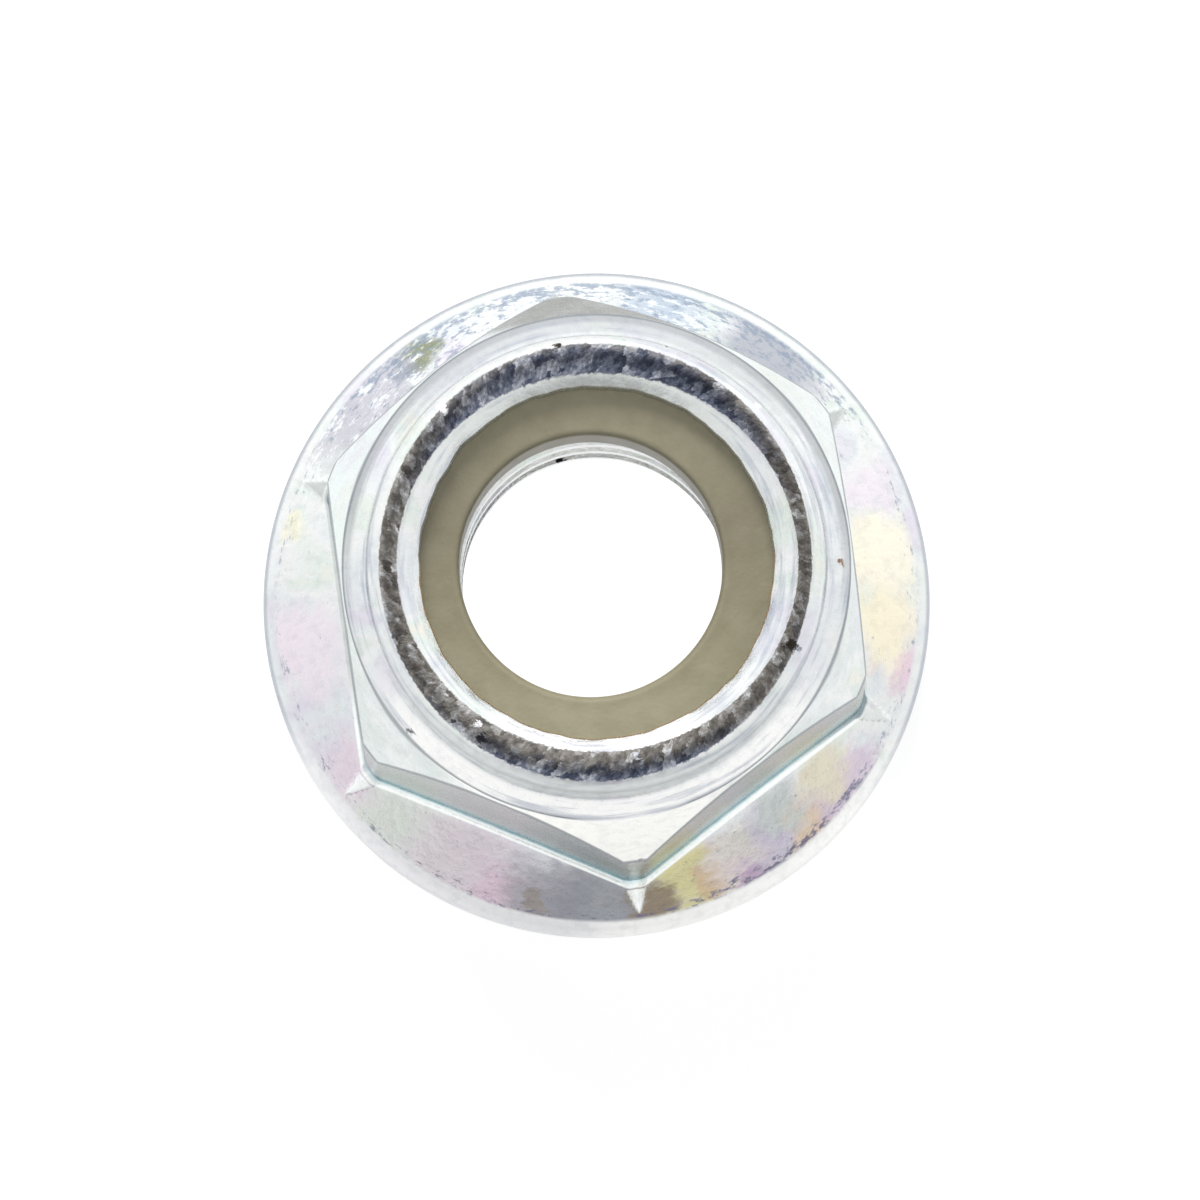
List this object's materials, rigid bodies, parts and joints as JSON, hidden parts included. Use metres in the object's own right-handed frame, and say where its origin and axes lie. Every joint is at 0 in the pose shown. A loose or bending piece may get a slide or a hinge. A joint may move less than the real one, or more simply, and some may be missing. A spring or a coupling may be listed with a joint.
{
  "type": "nylon insert flange nut",
  "caption": "Hexagon lock nut with a round flange and a nylon ring crimped into its collar, for an M8 thread.",
  "frame": {"origin": "centre of the bearing face, on the thread's axis", "axes": "+Z along the thread's axis, from the bearing face to the collar; two of the hexagon's flats face along X"},
  "size_m": [0.0173, 0.0172, 0.0108],
  "materials": {
    "zinc_plate": "bright zinc plate with a pale iridescent passivation",
    "nylon": "matte olive-beige nylon"
  },
  "bodies": {
    "root": {"steel_body": "zinc_plate", "nylon_ring": "nylon"}
  },
  "joints": []
}
